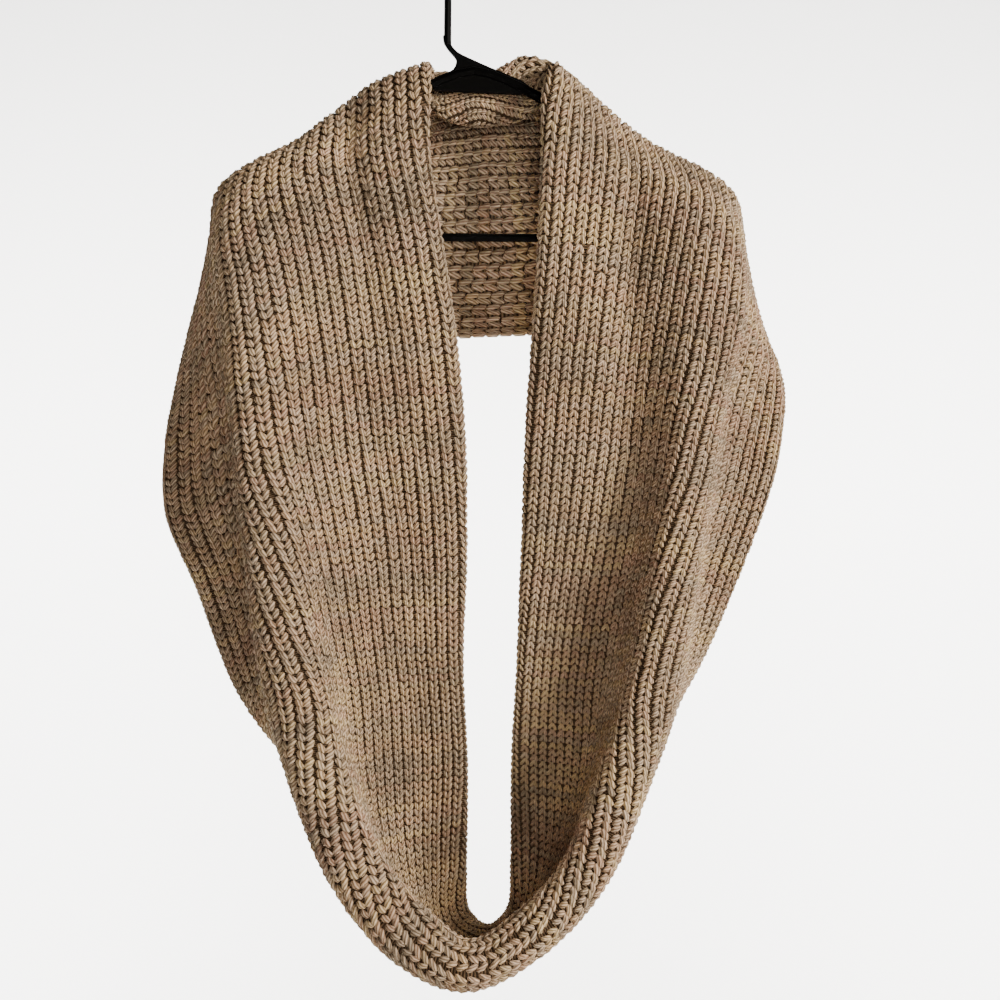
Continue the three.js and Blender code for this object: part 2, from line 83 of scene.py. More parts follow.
# A row for each section of the band, from the lowest point up the viewer's left, across the
# back and down the right, in millimetres. Columns: name, how far the ribs of the outer roll
# stand open, then the place of each named line: tip, turn, inner, panel, hollow, ridge, fold,
# foot and hem.
SECTIONS: tuple[tuple[str, float, tuple[Point, ...]], ...] = (
    ("bottom", 1.8, ((10, 50, -839), (10, 52, -832), (10, 40, -820), (5, 22, -835), (-1, -8, -838),
     (-4, -50, -809), (-5, -70, -826), (-6, -50, -843), (-5, 40, -857))),
    ("left_bend", 1.8, ((-15, 50, -819), (-12, 52, -815), (-8, 40, -806), (-27, 26, -819),
     (-36, -4, -817), (-40, -52, -785), (-58, -64, -810), (-58, -44, -825), (-48, 36, -836))),
    ("left_rim", 1.8, ((-29, 46, -769), (-19, 46, -768), (-9, 34, -760), (-43, 34, -772),
     (-69, 2, -772), (-78, -52, -743), (-108, -58, -753), (-109, -34, -768), (-88, 34, -782))),
    ("left_low", 1.7, ((-34, 38, -687), (-20, 38, -685), (-8, 25, -680), (-54, 28, -685),
     (-94, 3, -686), (-110, -52, -675), (-141, -50, -678), (-145, -14, -690), (-133, 32, -706))),
    ("left_third", 1.5, ((-37, 28, -592), (-22, 28, -591), (-12, 15, -589), (-62, 16, -590),
     (-111, -4, -590), (-134, -48, -589), (-163, -46, -596), (-175, -8, -604), (-195, 10, -617))),
    ("left_half", 1.35, ((-35, 16, -499), (-20, 16, -498), (-8, 3, -496), (-65, 4, -498),
     (-121, -11, -500), (-151, -46, -504), (-177, -43, -511), (-188, -4, -517), (-231, 12, -529))),
    ("left_wide", 1.25, ((-36, 6, -406), (-21, 6, -405), (-9, -7, -405), (-69, -8, -407),
     (-128, -17, -414), (-164, -42, -424), (-187, -38, -433), (-198, 0, -438), (-258, 15, -465))),
    ("left_chest", 1.25, ((-42, -4, -323), (-28, -4, -322), (-16, -17, -324), (-76, -18, -328),
     (-134, -23, -337), (-171, -38, -354), (-193, -34, -365), (-206, 4, -370), (-260, 22, -410))),
    ("left_high", 1.2, ((-53, -9, -245), (-39, -9, -245), (-27, -22, -247), (-82, -23, -251),
     (-138, -25, -265), (-177, -33, -283), (-200, -26, -301), (-214, 4, -310), (-254, 32, -363))),
    ("left_yoke", 1.1, ((-62, -10, -168), (-49, -10, -167), (-38, -23, -169), (-93, -24, -175),
     (-141, -25, -194), (-183, -26, -218), (-207, -18, -238), (-219, 8, -262), (-245, 42, -318))),
    ("left_front", 1.0, ((-57, -12, -118), (-47, -12, -115), (-36, -22, -114), (-90, -19, -142),
     (-143, -18, -170), (-185, -18, -193), (-208, -11, -214), (-219, 13, -238), (-237, 47, -291))),
    ("left_top", 1.0, ((-53, 6, -103), (-43, 5, -99), (-34, 1, -93), (-89, 0, -115),
     (-145, 0, -158), (-186, 0, -179), (-211, 3, -198), (-217, 22, -221), (-228, 48, -274))),
    ("left_nape", 1.0, ((-34, 11, -118), (-28, 13, -134), (-22, 21, -122), (-25, 24, -94),
     (-62, 38, -133), (-118, 37, -187), (-160, 37, -224), (-182, 40, -256), (-192, 46, -304))),
    ("nape", 1.3, ((2, 7, -114), (4, 9, -139), (6, 18, -139), (7, 22, -99), (7, 37, -99),
     (8, 41, -150), (8, 38, -207), (8, 37, -262), (9, 36, -313))),
    ("right_nape", 1.0, ((45, 12, -119), (41, 14, -136), (37, 22, -121), (44, 25, -80),
     (70, 38, -118), (124, 37, -180), (168, 37, -222), (191, 40, -253), (201, 46, -292))),
    ("right_top", 1.0, ((76, 7, -114), (71, 5, -107), (61, 1, -90), (102, 0, -130), (148, 0, -164),
     (187, 0, -182), (211, 3, -200), (220, 22, -221), (228, 48, -274))),
    ("right_front", 1.0, ((76, -11, -130), (65, -11, -127), (56, -22, -123), (101, -18, -152),
     (149, -15, -182), (188, -17, -200), (212, -9, -219), (222, 15, -240), (235, 46, -292))),
    ("right_yoke", 1.1, ((80, -10, -172), (66, -10, -170), (56, -23, -169), (102, -24, -176),
     (151, -22, -198), (189, -25, -221), (214, -16, -243), (224, 8, -261), (244, 40, -315))),
    ("right_high", 1.2, ((76, -9, -247), (63, -9, -246), (53, -22, -247), (101, -24, -251),
     (147, -19, -264), (188, -28, -283), (214, -20, -298), (224, 2, -310), (258, 28, -354))),
    ("right_chest", 1.25, ((72, -4, -324), (59, -4, -323), (48, -17, -324), (97, -20, -328),
     (142, -14, -336), (178, -33, -348), (200, -26, -357), (212, 4, -363), (256, 18, -397))),
    ("right_wide", 1.25, ((68, 4, -407), (55, 4, -406), (43, -9, -405), (94, -12, -407),
     (138, -7, -414), (168, -38, -421), (189, -30, -428), (202, 0, -432), (247, 14, -440))),
    ("right_half", 1.35, ((65, 14, -498), (51, 14, -498), (40, 1, -496), (89, 2, -498),
     (128, 0, -501), (154, -42, -501), (175, -36, -508), (187, -4, -514), (216, 10, -523))),
    ("right_third", 1.5, ((62, 26, -592), (48, 26, -591), (36, 13, -589), (80, 14, -591),
     (114, 2, -592), (136, -47, -589), (159, -44, -594), (169, -12, -604), (180, 10, -602))),
    ("right_low", 1.7, ((58, 38, -689), (44, 38, -687), (31, 25, -682), (69, 28, -687),
     (96, 5, -688), (107, -50, -674), (132, -49, -680), (137, -18, -692), (119, 30, -701))),
    ("right_rim", 1.8, ((52, 48, -769), (40, 48, -768), (32, 34, -760), (55, 34, -772),
     (70, 0, -771), (78, -52, -743), (98, -58, -756), (100, -34, -768), (77, 34, -782))),
    ("right_bend", 1.8, ((36, 50, -817), (33, 52, -814), (28, 40, -806), (31, 26, -819),
     (34, -4, -817), (37, -52, -786), (51, -64, -804), (51, -44, -818), (38, 36, -834))),
)

# Soft folds that run along the ribs. Columns: name, section where the fold starts and its rib
# there, section where it ends and its rib there, half width in ribs, and how far the cloth is
# moved halfway along it, in millimetres.
FOLDS: tuple[tuple[str, str, float, str, float, float, Point], ...] = (
    ("left_collar_valley", "left_wide", 9.3, "left_nape", 8.2, 1.7, (0, 12, -4)),
    ("left_panel_crease", "left_third", 6.5, "left_high", 13.5, 1.5, (0, 5, 0)),
    ("left_flank_valley", "left_low", 25, "left_front", 25.2, 1.8, (0, 13, 0)),
    ("back_upper_swag", "left_top", 19, "right_top", 19, 2.6, (0, -7, 0)),
    ("back_lower_swag", "left_top", 25, "right_top", 25, 2.2, (0, 6, 0)),
    ("right_collar_valley", "right_top", 9.2, "right_half", 12.5, 1.9, (0, 11, -2)),
    ("right_flank_valley", "right_front", 24.8, "right_third", 25, 1.8, (0, 7, 0)),
)


def section_number(name: str) -> int:
    """The number of a named section, counted from the lowest point."""
    return [row[0] for row in SECTIONS].index(name)


def smooth_step(value: Array, low: float, high: float) -> Array:
    """Rises from 0 at low to 1 at high, with level ends."""
    part = np.clip((value - low) / (high - low), 0, 1)
    return part * part * (3 - 2 * part)


def centripetal(points: Array, where: Array, closed: bool) -> Array:
    """Points on centripetal Catmull-Rom curves, several curves at once.

    Args:
        points: knots, shaped (curves, knots, 3).
        where: places on each curve, from 0 to 1.
        closed: whether the curves are loops.

    Returns:
        The points, shaped (curves, places, 3).
    """
    count = points.shape[1]
    if closed:
        knots = np.concatenate([points[:, -1:], points, points[:, :2]], axis=1)
        spans = count
    else:
        before = 2 * points[:, :1] - points[:, 1:2]
        after = 2 * points[:, -1:] - points[:, -2:-1]
        knots = np.concatenate([before, points, after], axis=1)
        spans = count - 1
    span = np.minimum((where * spans).astype(int), spans - 1)
    part = (where * spans - span)[None, :, None]
    a, b, c, d = (knots[:, span + shift] for shift in range(4))

    def gap(p: Array, q: Array) -> Array:
        """Square root of the distance between two rows of knots."""
        return np.linalg.norm(q - p, axis=2, keepdims=True) ** 0.5

    first, middle, last = gap(a, b), gap(b, c), gap(c, d)
    leave = ((b - a) / first - (c - a) / (first + middle) + (c - b) / middle) * middle
    reach = ((c - b) / middle - (d - b) / (middle + last) + (d - c) / last) * middle
    square = -3 * b + 3 * c - 2 * leave - reach
    cube = 2 * b - 2 * c + leave + reach
    return b + part * (leave + part * (square + part * cube))


@dataclass
class KnitBand:
    """The middle surface of the knitted band, measured in ribs across and courses along.

    Course 0 is at the band's lowest point, and ribs are counted from the tip to the hem.
    """

    ribs: int = 28
    per_rib: int = 6
    course_pitch: float = 5.7 * MM
    roll_rise: Range = (3.5, 5.0)
    roll_fall: Range = (7.0, 8.0)
    softening_passes: int = 2
    softening_reach: int = 2
    places_per_section: int = 48
    rows_per_course: int = 2
    courses: int = field(init=False)
    length: float = field(init=False)
    points: Array = field(init=False)
    normals: Array = field(init=False)
    pitch: Array = field(init=False)

    def __post_init__(self) -> None:
        """Lays out the courses and works out the surface's points and directions."""
        self.lines = np.array([row[2] for row in SECTIONS]).transpose(1, 0, 2) * MM
        self.open_ribs = np.array([row[1] for row in SECTIONS])
        count = len(SECTIONS)
        fine = np.arange(count * self.places_per_section + 1) / self.places_per_section
        guides = centripetal(self.lines, fine / count, closed=True)
        steps = np.linalg.norm(np.diff(guides, axis=1), axis=2).mean(axis=0)
        self.travelled = np.concatenate([[0], np.cumsum(steps)])
        self.fine_places = fine
        self.length = float(self.travelled[-1])
        self.courses = round(self.length / self.course_pitch)
        rows = np.arange(self.courses * self.rows_per_course) / self.rows_per_course
        places = np.interp(rows * self.length / self.courses, self.travelled, fine)
        self.points = self._across(places)
        along = np.roll(self.points, -1, axis=0) - np.roll(self.points, 1, axis=0)
        half = self.per_rib // 2
        columns = np.arange(self.points.shape[1])
        high = np.minimum(columns + half, columns[-1])
        low = np.maximum(columns - half, 0)
        across = self.points[:, high] - self.points[:, low]
        # Along the band and then across it gives a normal out of the ribbed face.
        normal = np.cross(along, across)
        self.normals = normal / np.linalg.norm(normal, axis=2, keepdims=True)
        self.pitch = np.linalg.norm(across, axis=2) * self.per_rib / (high - low)

    def _across(self, places: Array) -> Array:
        """Points across the band at each place, per_rib to a rib.

        Args:
            places: places along the band, counted in sections.

        Returns:
            Points shaped (places, ribs * per_rib + 1, 3).
        """
        count = len(SECTIONS)
        guides = centripetal(self.lines, places / count, closed=True).transpose(1, 0, 2)
        fine = self.ribs * self.per_rib * 2
        raw = centripetal(guides, np.arange(fine + 1) / fine, closed=False)
        line = (np.arange(fine) + 0.5) / fine * (self.lines.shape[0] - 1)
        on_roll = smooth_step(line, *self.roll_rise) * (1 - smooth_step(line, *self.roll_fall))
        open_ribs = np.append(self.open_ribs, self.open_ribs[0])
        spread = np.interp(places, np.arange(count + 1), open_ribs)
        steps = np.linalg.norm(np.diff(raw, axis=1), axis=2)
        steps = steps / (1 + (spread[:, None] - 1) * on_roll)
        measure = np.concatenate([np.zeros((len(places), 1)), np.cumsum(steps, axis=1)], axis=1)
        samples = self.ribs * self.per_rib
        even = np.arange(samples + 1) / samples
        points = np.empty((len(places), samples + 1, 3))
        for row in range(len(places)):
            wanted = even * measure[row, -1]
            for axis in range(3):
                points[row, :, axis] = np.interp(wanted, measure[row], raw[row, :, axis])
        for _ in range(self.softening_passes):
            points = self._softened(points)
        return self._folded(points, places)

    def _softened(self, points: Array) -> Array:
        """Replaces each point by the mean of its neighbours across the band, with the ends held."""
        last = points.shape[1] - 1
        soft = np.empty_like(points)
        for column in range(last + 1):
            reach = min(self.softening_reach, column, last - column)
            soft[:, column] = points[:, column - reach : column + reach + 1].mean(axis=1)
        return soft

    def _folded(self, points: Array, places: Array) -> Array:
        """Moves the points by the soft folds that cross them.

        Args:
            points: the points across the band at each place.
            places: the places, counted in sections.

        Returns:
            The moved points.
        """
        ribs = np.arange(points.shape[1]) / self.per_rib
        for _, start_name, start_rib, end_name, end_rib, half_width, depth in FOLDS:
            start, end = section_number(start_name), section_number(end_name)
            part = (places - start) / (end - start)
            strength = np.where((part > 0) & (part < 1), np.sin(math.pi * part) ** 2, 0)
            middle = start_rib + (end_rib - start_rib) * part
            away = (ribs[None] - middle[:, None]) / half_width
            share = strength[:, None] * np.exp(-away * away)
            points = points + share[..., None] * np.array(depth) * MM
        return points

    def course_of(self, section: str, past: float) -> int:
        """The course nearest to a place a part of a section past a named section."""
        place = section_number(section) + past
        travelled = np.interp(place % len(SECTIONS), self.fine_places, self.travelled)
        return round(float(travelled) / self.length * self.courses)

    def at(self, ribs: Array, courses: Array) -> tuple[Array, Array, Array]:
        """Reads the surface between its points.

        Args:
            ribs: places across the band, in ribs.
            courses: places along it, in courses, of the same shape.

        Returns:
            The points, the normals towards the ribbed face, and the rib pitch there.
        """
        total = self.points.shape[0]
        row = (courses * self.rows_per_course) % total
        column = np.clip(ribs * self.per_rib, 0, self.points.shape[1] - 1)
        r0 = row.astype(int) % total
        c0 = np.minimum(column.astype(int), self.points.shape[1] - 2)
        fr, fc = row - row.astype(int), column - c0
        r1, c1 = (r0 + 1) % total, c0 + 1
        weights = ((1 - fr) * (1 - fc), fr * (1 - fc), (1 - fr) * fc, fr * fc)
        corners = ((r0, c0), (r1, c0), (r0, c1), (r1, c1))
        found = []
        for grid in (self.points, self.normals, self.pitch[..., None]):
            found.append(sum(w[..., None] * grid[at] for w, at in zip(weights, corners)))
        return found[0], found[1], found[2][..., 0]


# Meshes from arrays


def linked(name: str, data: bpy.types.ID) -> Object:
    """Makes an object of its data and links it to the scene."""
    made = bpy.data.objects.new(name, data)
    bpy.context.scene.collection.objects.link(made)
    return made


@dataclass
class Shape:
    """Vertices, faces and attributes of a mesh that is built up from arrays."""

    points: Array
    quads: Array
    triangles: Array
    values: dict[str, Array] = field(default_factory=dict)

    def joined(self, other: "Shape") -> "Shape":
        """This shape and another one in one mesh."""
        shift = len(self.points)
        return Shape(
            np.concatenate([self.points, other.points]),
            np.concatenate([self.quads, other.quads + shift]),
            np.concatenate([self.triangles, other.triangles + shift]),
            {name: np.concatenate([self.values[name], other.values[name]]) for name in self.values},
        )

    def to_object(self, name: str, material: Material) -> Object:
        """Makes a smooth-shaded object of the shape.

        Args:
            name: the object's name.
            material: its material.

        Returns:
            The object, linked to the scene.
        """
        corners = np.concatenate([self.quads.ravel(), self.triangles.ravel()]).astype(np.int32)
        totals = np.repeat([4, 3], [len(self.quads), len(self.triangles)]).astype(np.int32)
        starts = np.concatenate([[0], np.cumsum(totals)[:-1]]).astype(np.int32)
        mesh = bpy.data.meshes.new(name)
        mesh.vertices.add(len(self.points))
        mesh.vertices.foreach_set("co", self.points.astype(np.float32).ravel())
        mesh.loops.add(len(corners))
        mesh.loops.foreach_set("vertex_index", corners)
        mesh.polygons.add(len(totals))
        mesh.polygons.foreach_set("loop_start", starts)
        mesh.polygons.foreach_set("loop_total", totals)
        mesh.polygons.foreach_set("use_smooth", np.ones(len(totals), dtype=bool))
        for key, value in self.values.items():
            layer = mesh.attributes.new(key, "FLOAT_VECTOR", "POINT")
            layer.data.foreach_set("vector", value.astype(np.float32).ravel())
        mesh.update(calc_edges=True)
        mesh.materials.append(material)
        return linked(name, mesh)


class Unevenness:
    """Seeded smooth noise, for the unevenness of yarn and tension."""

    def __init__(self, seed: int) -> None:
        """Draws the lattice of random values."""
        self.lattice = np.random.default_rng(seed).random((256, 256))

    def at(self, x: Array, y: Array) -> Array:
        """Noise from -1 to 1 whose lumps are one unit wide."""
        column, row = np.floor(x).astype(int), np.floor(y).astype(int)
        fx, fy = smooth_step(x - column, 0, 1), smooth_step(y - row, 0, 1)
        size = len(self.lattice)
        c0, c1, r0, r1 = column % size, (column + 1) % size, row % size, (row + 1) % size
        low = self.lattice[r0, c0] * (1 - fx) + self.lattice[r0, c1] * fx
        high = self.lattice[r1, c0] * (1 - fx) + self.lattice[r1, c1] * fx
        return (low * (1 - fy) + high * fy) * 2 - 1


# Finishes


def linear(colour: str) -> tuple[float, float, float, float]:
    """Turns an sRGB hex colour to linear RGBA."""
    parts = [int(colour[at : at + 2], 16) / 255 for at in (1, 3, 5)]
    light = [part / 12.92 if part <= 0.04045 else ((part + 0.055) / 1.055) ** 2.4 for part in parts]
    return (*light, 1.0)


class NodeBoard:
    """A material's node tree, with one way to add a node."""

    def __init__(self, name: str) -> None:
        """Starts an empty material with its output node."""
        self.material = bpy.data.materials.new(name)
        self.material.use_nodes = True
        self.tree = self.material.node_tree
        self.tree.nodes.clear()

    def add(self, kind: str, inputs: dict | None = None, **settings: object) -> bpy.types.Node:
        """Adds a node.

        Args:
            kind: the node's type name, without the ShaderNode prefix.
            inputs: values or output sockets for its inputs, by name or number.
            settings: its properties.

        Returns:
            The node.
        """
        node = self.tree.nodes.new("ShaderNode" + kind)
        for key, value in settings.items():
            setattr(node, key, value)
        for key, value in (inputs or {}).items():
            if isinstance(value, Socket):
                self.tree.links.new(value, node.inputs[key])
            else:
                node.inputs[key].default_value = value
        return node

    def mixed(self, share: Socket | float, first: Socket | tuple, second: Socket | tuple) -> Socket:
        """A colour between two, by the second one's share."""
        # By number, because the node has a factor, an A and a B for each type of data.
        return self.add("Mix", {0: share, 6: first, 7: second}, data_type="RGBA").outputs[2]

    def ranged(self, value: Socket, before: Range, after: Range) -> Socket:
        """A value brought from one range to another and held within it."""
        return self.add("MapRange", {
            "Value": value, "From Min": before[0], "From Max": before[1],
            "To Min": after[0], "To Max": after[1]}).outputs["Result"]

    def sum_of(self, first: Socket, second: Socket, times: float) -> Socket:
        """The first value plus so many times the second."""
        node = self.add("Math", {0: second, 1: times, 2: first}, operation="MULTIPLY_ADD")
        return node.outputs[0]


@dataclass(frozen=True)
class Finish:
    """A finish made with the principled shader."""

    name: str

    def look(self, board: NodeBoard) -> dict:
        """Adds the finish's own nodes.

        Args:
            board: the material's board.

        Returns:
            The shader's inputs.
        """
        raise NotImplementedError

    def material(self) -> Material:
        """Builds the material round its look."""
        board = NodeBoard(self.name)
        skin = board.add("BsdfPrincipled", self.look(board))
        board.add("OutputMaterial", {"Surface": skin.outputs["BSDF"]})
        return board.material


@dataclass(frozen=True)
class MarlYarn(Finish):
    """Worsted-spun wool and acrylic marl: matt, hairy, plied from strands of differing tone."""

    oat: str = "#c8aa88"
    straw: str = "#c6ac72"
    rose: str = "#c48f79"
    grey: str = "#a49786"
    # shade is painted shade in the creases between the plies, and glint is a painted highlight on
    # the plies' backs.
    shade: str = "#664f3a"
    glint: str = "#fbe3c4"
    oat_share: float = 0.4
    plies: float = 5.0
    twist: float = 2.4
    wander: float = 2.2
    ply_depth: float = 0.35 * MM
    ply_relief: float = 0.7
    # Shares of painted shade in the ply creases and of painted highlight on the ply backs.
    painted_ply_shade: float = 0.65
    back: float = 0.6
    fibre: float = 0.4
    tones: Range = (0.5, 1.2)
    hairs: Point = (2.5, 22.0, 1.0)

    def look(self, board: NodeBoard) -> dict:
        """Adds the nodes, which read each stitch's marl and strand attributes."""
        marl = board.add("Attribute", attribute_name="marl")
        strand = board.add("Attribute", attribute_name="strand")
        mood = board.add("SeparateXYZ", {0: marl.outputs["Vector"]})
        run = board.add("SeparateXYZ", {0: strand.outputs["Vector"]})
        warm = board.mixed(mood.outputs["X"], linear(self.rose), linear(self.straw))
        plain = board.mixed(mood.outputs["Y"], linear(self.grey), warm)
        body = board.mixed(self.oat_share, plain, linear(self.oat))
        # Hairs drawn out along the grain, about 3 mm long and 0.6 mm wide: real fibres are finer
        # and wouldn't show.
        hairs = board.add("Mapping", {
            "Vector": strand.outputs["Vector"], "Scale": self.hairs})
        hair = board.add("TexNoise", {
            "Vector": hairs.outputs["Vector"], "Scale": 1.0, "Detail": 3.0, "Roughness": 0.65})
        # The plies wind round the grain, each about 2.5 mm wide, so that they show, and the
        # loose twist wanders.
        wander = board.sum_of(run.outputs["Z"], hair.outputs["Fac"], self.wander)
        wound = board.sum_of(wander, run.outputs["X"], math.tau * self.twist)
        phase = board.sum_of(wound, run.outputs["Y"], math.tau * self.plies)
        ply = board.add("Math", {0: phase}, operation="SINE").outputs[0]
        # Painted shade in the creases between the plies, and a painted highlight on their backs.
        painted_ply_shade = board.ranged(ply, (0.0, -0.9), (0.0, self.painted_ply_shade))
        back = board.ranged(ply, (0.0, 0.9), (0.0, self.back))
        fibre = board.ranged(hair.outputs["Fac"], (0.4, 0.75), (0.0, self.fibre))
        with_painted_shade = board.mixed(painted_ply_shade, body, linear(self.shade))
        with_painted_highlight = board.mixed(back, with_painted_shade, linear(self.glint))
        lit = board.mixed(fibre, with_painted_highlight, body)
        tone = board.ranged(mood.outputs["Z"], (0.0, 1.0), self.tones)
        toned = board.add("HueSaturation", {"Color": lit, "Value": tone})
        height = board.sum_of(ply, hair.outputs["Fac"], 1.0)
        relief = board.add("Bump", {
            "Height": height, "Strength": self.ply_relief, "Distance": self.ply_depth})
        return {
            "Base Color": toned.outputs["Color"], "Normal": relief.outputs["Normal"],
            "Roughness": 0.92, "Specular IOR Level": 0.2, "Sheen Weight": 0.2,
            "Sheen Roughness": 0.55, "Sheen Tint": linear(self.glint)}


@dataclass(frozen=True)
class KnitGround(Finish):
    """The purl side of the yarn down between the ribs: cross bars of yarn, in painted shade."""

    # Both colours are painted shade: yarn is darker than the stitches' yarn for the shade down
    # between the ribs, and gap darkens the spaces between the bars.
    yarn: str = "#78624b"
    gap: str = "#33271b"
    bar_depth: float = 1.0 * MM
    bar_relief: float = 0.9

    def look(self, board: NodeBoard) -> dict:
        """Adds the nodes, which read the ribs and courses of the strand attribute."""
        strand = board.add("Attribute", attribute_name="strand")
        # The wave repeats three times to a course, so that the bars are about 1.8 mm apart.
        bars = board.add("TexWave", {
            "Vector": strand.outputs["Vector"], "Scale": 1.0, "Distortion": 1.2, "Detail": 1.0})
        # Painted shade: the darker yarn colour for the shade between the ribs, and the gap colour
        # between the bars.
        colour = board.mixed(bars.outputs["Fac"], linear(self.gap), linear(self.yarn))
        relief = board.add("Bump", {
            "Height": bars.outputs["Fac"], "Strength": self.bar_relief, "Distance": self.bar_depth})
        return {
            "Base Color": colour, "Normal": relief.outputs["Normal"],
            "Roughness": 0.95, "Specular IOR Level": 0.15}


@dataclass(frozen=True)
class MouldedPolystyrene(Finish):
    """Injection-moulded black polystyrene: an even satin skin, faintly wavy from the mould."""

    black: str = "#050505"
    wave_depth: float = 0.4 * MM
    wave_relief: float = 0.15
    waves_per_metre: float = 90.0
    roughness: Range = (0.42, 0.55)

    def look(self, board: NodeBoard) -> dict:
        """Adds the nodes of the satin skin and its waviness."""
        place = board.add("TexCoord")
        wave = board.add("TexNoise", {
            "Vector": place.outputs["Object"], "Scale": self.waves_per_metre, "Detail": 2.0})
        rough = board.add("MapRange", {
            "Value": wave.outputs["Fac"], "To Min": self.roughness[0], "To Max": self.roughness[1]})
        relief = board.add("Bump", {
            "Height": wave.outputs["Fac"], "Strength": self.wave_relief,
            "Distance": self.wave_depth})
        return {
            "Base Color": linear(self.black), "Roughness": rough.outputs["Result"],
            "Normal": relief.outputs["Normal"], "Specular IOR Level": 0.05}


@dataclass(frozen=True)
class MattPaper(Finish):
    """Matt white backdrop paper."""

    white: str = "#f4f3f1"

    def look(self, board: NodeBoard) -> dict:
        """An even matt white."""
        return {"Base Color": linear(self.white), "Roughness": 0.9}


# The scarf


@dataclass(frozen=True)
class Stretch:
    """A stretch of the band between two seams, by the sections next to them."""

    node: str
    start: str
    start_past: float
    end: str
    end_past: float
    hold: Hold
    rests_on: tuple[str, ...]


@dataclass(frozen=True)
class Grain:
    """The path and thickness of one leg of a stitch.

    Across is in ribs from the middle of the column, along is in courses, and height and the
    radii are in metres for a rib of the usual pitch. Aspect is the height of a stitch over the
    width of its column, and evenness says how far that height keeps to the usual rib's.
    """

    across: Numbers
    along: Numbers
    height: Numbers
    half_width: Numbers
    half_height: Numbers
    sides: int
    aspect: float
    evenness: float


LEG = Grain(
    across=(0.02, 0.07, 0.215, 0.325, 0.365),
    along=(-0.12, 0.06, 0.50, 0.90, 1.08),
    height=(1.2 * MM, 2.6 * MM, 3.0 * MM, 2.1 * MM, 0.7 * MM),
    half_width=(1.7 * MM, 2.2 * MM, 1.75 * MM),
    half_height=(1.4 * MM, 1.8 * MM, 1.45 * MM),
    sides=5,
    aspect=0.51,
    evenness=0.0,
)
PLAIN_LEG = Grain(
    across=(0.03, 0.13, 0.29, 0.38),
    along=(-0.16, 0.15, 0.80, 1.14),
    height=(0.9 * MM, 2.2 * MM, 2.0 * MM, 0.6 * MM),
    half_width=(2.25 * MM, 2.25 * MM),
    half_height=(1.45 * MM, 1.45 * MM),
    sides=5,
    aspect=0.40,
    evenness=0.7,
)


@dataclass(frozen=True)
class YarnTones:
    """How the tones change along the yarn and over the cloth.

    Run and drift are lengths in legs along the yarn, patch and fleck are sizes in ribs and
    courses, and each ends with a place of its own in the noise. The factors warm, tint and
    light are a middle, and then the shares of the changes that they follow.
    """

    run: Range = (17, 7)
    drift: Range = (31, 31)
    patch: Point = (4, 11, 40)
    fleck: Point = (2.5, 5, 90)
    warm: Numbers = (0.5, 0.7, 0.35)
    tint: Numbers = (0.6, 0.6, 0.25)
    light: Numbers = (0.55, 0.35, 0.2, 0.22)


@dataclass(frozen=True)
class Tension:
    """How uneven the stitches are: size as a share, sway in ribs and slip in courses.

    Sway and slip each have a part that changes slowly and a part of each leg's own.
    """

    size: float = 0.06
    sway: float = 0.05
    sway_per_rib: float = 1.7
    sway_courses: float = 3.1
    sway_each: float = 0.014
    slip: float = 0.10
    slip_per_rib: float = 2.3
    slip_shift: float = 60
    slip_courses: float = 2.3
    slip_each: float = 0.05
    tone: float = 0.1


